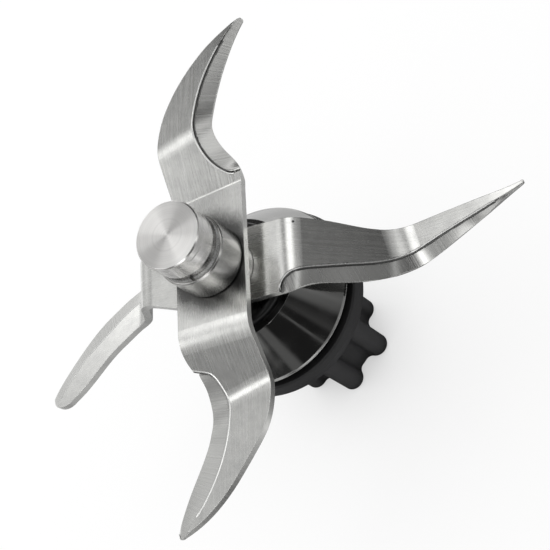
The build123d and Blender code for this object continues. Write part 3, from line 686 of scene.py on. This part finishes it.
def paper_table():
    """White paper: bright to the eye, with the part's shadow and a painted soft shadow where the part comes
    near.
    """
    paper = bpy.data.materials.new("white_paper")
    tree = empty_tree(paper)
    matt = node(tree, "ShaderNodeBsdfPrincipled", {"Base Color": linear("#fbfbfb"), "Roughness": 0.9})
    under = node(tree, "ShaderNodeAmbientOcclusion", {"Distance": CONTACT_REACH}, samples=16)
    contact_shadow_glow = node(tree, "ShaderNodeMapRange",
                    {"Value": under.outputs["AO"], "From Min": 0.3, "From Max": 0.9, "To Min": 0.7})
    white = node(tree, "ShaderNodeEmission", {"Strength": contact_shadow_glow.outputs["Result"]})
    sheet = node(tree, "ShaderNodeMixShader",
                 {"Fac": seen_share(tree, 0.0, PAPER_GLOW), 1: matt.outputs["BSDF"],
                  2: white.outputs["Emission"]})
    node(tree, "ShaderNodeOutputMaterial", {"Surface": sheet.outputs["Shader"]})
    disc = bmesh.new()
    bmesh.ops.create_circle(disc, cap_ends=True, segments=96, radius=PAPER_R)
    stage_piece("paper_table", disc, paper)


def light_tent():
    """Cloth tent with soft lights on it, dark where the camera looks in, with a dim room beyond its foot."""
    cloth = bpy.data.materials.new("tent_cloth")
    tree = empty_tree(cloth)
    place = node(tree, "ShaderNodeTexCoord").outputs["Object"]
    aim = node(tree, "ShaderNodeVectorMath", {0: place}, operation="NORMALIZE").outputs["Vector"]
    glow = CLOTH_GREY
    for bearing, height, reach, gain in TENT_LIGHTS:
        facing = node(tree, "ShaderNodeVectorMath", {0: aim, 1: direction(bearing, height)},
                      operation="DOT_PRODUCT")
        patch = node(tree, "ShaderNodeMapRange",
                     {"Value": facing.outputs["Value"], "From Min": math.cos(math.radians(reach)),
                      "From Max": math.cos(math.radians(LIGHT_CORE * reach)), "To Max": gain},
                     interpolation_type="SMOOTHSTEP")
        added = node(tree, "ShaderNodeMath", {0: patch.outputs["Result"], 1: glow}, operation="ADD")
        glow = added.outputs["Value"]
    opening = (Vector(CAMERA_PLACE) - Vector(HUB_PLACE)).normalized()
    facing = node(tree, "ShaderNodeVectorMath", {0: aim, 1: opening}, operation="DOT_PRODUCT")
    shut = node(tree, "ShaderNodeMapRange",
                {"Value": facing.outputs["Value"], "From Min": math.cos(math.radians(OPENING_DARK)),
                 "From Max": math.cos(math.radians(OPENING_EDGE)), "To Min": OPENING_GREY},
                interpolation_type="SMOOTHSTEP")
    lit = node(tree, "ShaderNodeMath", {0: glow, 1: shut.outputs["Result"]}, operation="MULTIPLY")
    # The room shows low down, as streaks in the bell: a door, a post and a grey wall
    split = node(tree, "ShaderNodeSeparateXYZ", {"Vector": aim})
    low = node(tree, "ShaderNodeMapRange", {"Value": split.outputs["Z"], "From Min": 0.35, "From Max": 0.15})
    both = node(tree, "ShaderNodeMath",
                {0: bearing_tones(tree, aim, ROOM_TONES), 1: low.outputs["Result"], 2: lit.outputs["Value"]},
                operation="MULTIPLY_ADD")
    light = node(tree, "ShaderNodeEmission", {"Strength": both.outputs["Value"]})
    node(tree, "ShaderNodeOutputMaterial", {"Surface": light.outputs["Emission"]})
    dome = bmesh.new()
    bmesh.ops.create_uvsphere(dome, u_segments=64, v_segments=32, radius=TENT_R)
    only_mirrored(stage_piece("light_tent", dome, cloth))


def shade_card():
    """The table as shiny metal mirrors it, on a sheet seen only there: painted shade near the part, and
    painted greys by bearing round it.
    """
    shade = bpy.data.materials.new("painted_shade_card")
    tree = empty_tree(shade)
    place = node(tree, "ShaderNodeTexCoord").outputs["Object"]
    away = node(tree, "ShaderNodeVectorMath", {0: place}, operation="LENGTH")
    pale = node(tree, "ShaderNodeMapRange",
                {"Value": away.outputs["Value"], "From Min": 25 * MM, "From Max": 75 * MM, "To Min": 0.04},
                interpolation_type="SMOOTHSTEP")
    tone = node(tree, "ShaderNodeMath",
                {0: pale.outputs["Result"], 1: bearing_tones(tree, place, TABLE_TONES)},
                operation="MULTIPLY")
    light = node(tree, "ShaderNodeEmission", {"Strength": tone.outputs["Value"]})
    node(tree, "ShaderNodeOutputMaterial", {"Surface": light.outputs["Emission"]})
    card = bmesh.new()
    bmesh.ops.create_circle(card, cap_ends=True, segments=96, radius=CARD_R)
    bmesh.ops.translate(card, verts=card.verts, vec=(0, 0, CARD_LIFT))
    only_mirrored(stage_piece("shade_card", card, shade))


def window_lamp():
    """One large lamp, high behind on the left, for the soft shadow on the paper."""
    pane = bpy.data.lights.new("window_lamp", "AREA")
    pane.size = LAMP_SIZE
    pane.energy = LAMP_WATTS
    lamp = bpy.data.objects.new("window_lamp", pane)
    lamp.location = LAMP_PLACE
    lamp.rotation_euler = (Vector(LAMP_AIM) - Vector(LAMP_PLACE)).to_track_quat("-Z", "Y").to_euler()
    lamp.visible_glossy = False
    bpy.context.scene.collection.objects.link(lamp)


def photo_camera():
    """The camera that took the photograph."""
    lens = bpy.data.cameras.new("camera")
    lens.lens = CAMERA_LENS
    lens.sensor_width = CAMERA_SENSOR
    camera = bpy.data.objects.new("camera", lens)
    camera.location = CAMERA_PLACE
    camera.rotation_euler = [math.radians(a) for a in CAMERA_TURN]
    bpy.context.scene.collection.objects.link(camera)
    bpy.context.scene.camera = camera


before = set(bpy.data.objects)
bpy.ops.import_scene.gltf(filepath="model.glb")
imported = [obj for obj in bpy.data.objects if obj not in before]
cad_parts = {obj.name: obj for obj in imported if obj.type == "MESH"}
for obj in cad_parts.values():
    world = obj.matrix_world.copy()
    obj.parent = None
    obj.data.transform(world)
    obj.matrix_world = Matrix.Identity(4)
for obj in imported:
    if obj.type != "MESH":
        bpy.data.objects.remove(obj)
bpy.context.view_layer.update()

# The wheel's burr: painted dark as shade at the foot of the step, and on the step's wall, and painted bright
# as a highlight at its top
burrs = (bright_metal("shaded_burr_stainless", "#5c5c5b", "#7e7e7d", 0.4, 0.02),
         bright_metal("highlit_burr_stainless", "#dededc", "#f0f0ee", 0.3, 0.02))
upper_strip = brushed_strip("brushed_stainless_upper", across=(1, 0, 0), streak_mm=(0.3, 14, 14),
                            pit_mm=(-6, -24, 74), corner_shade=0.88)
dressed_blade("upper_blade", upper_strip, (TOP_EDGE, BOTTOM_EDGE), burrs)
lower_strip = brushed_strip("brushed_stainless_lower", across=(0, 1, 0), streak_mm=(14, 0.3, 14),
                            pit_mm=(20.3, 8.8, 68.4), corner_shade=0.1)
dressed_blade("lower_blade", lower_strip, (RIGHT_EDGE, LEFT_EDGE), burrs)
paint(["cap_nut"],
      turned_steel("turned_stainless_cap", "#dedddb", "#f2f1ef", side=0.17, end=0.31, spread=0.95))
paint(["clamp_sleeve", "blade_spacer", "blade_washer", "foot_spacer", "coupling_insert", "spindle_shaft"],
      turned_steel("turned_stainless", "#b0b0ae", "#c8c7c4", side=0.17, end=0.3, spread=0.9))
paint(["flange_gasket"],
      moulded("moulded_rubber", "#272728", "#313132", edge_wear_and_sheen="#3e3e3f", rough=0.55, grit_mm=0.3, depth=0.3))
nitrile = moulded("moulded_nitrile", "#0a0a0b", "#111112", edge_wear_and_sheen="#1a1a1b", rough=0.3, grit_mm=0.3, depth=0.1)
paint(["shaft_seal"], nitrile)
dressed_bell(polished_shell(), nitrile)
paint(["drive_coupling"],
      moulded("glass_filled_nylon", "#3c3c3d", "#474748", edge_wear_and_sheen="#606061", rough=0.36, grit_mm=0.35,
              depth=0.2))
paint(["bearing_carrier"],
      moulded("moulded_acetal", "#050506", "#0a0a0b", edge_wear_and_sheen="#101011", rough=0.6, grit_mm=0.3, depth=0.1))
paint(["lock_ring", "circlip", "coupling_washer", "coupling_screw"],
      bright_metal("drawn_spring_steel", "#9a9a9a", "#b4b4b3", rough=0.28))
paint(["upper_bush", "lower_bush", "shoulder_washer"],
      bright_metal("sintered_bronze", "#8f6c40", "#a98352", rough=0.5))
paint(["oil_wick"],
      moulded("wool_felt", "#958d76", "#aba38b", edge_wear_and_sheen="#b5ad97", rough=0.95, grit_mm=0.4, depth=0.8))

bpy.context.scene.view_settings.view_transform = "Standard"
white_surround()
paper_table()
light_tent()
shade_card()
window_lamp()
photo_camera()
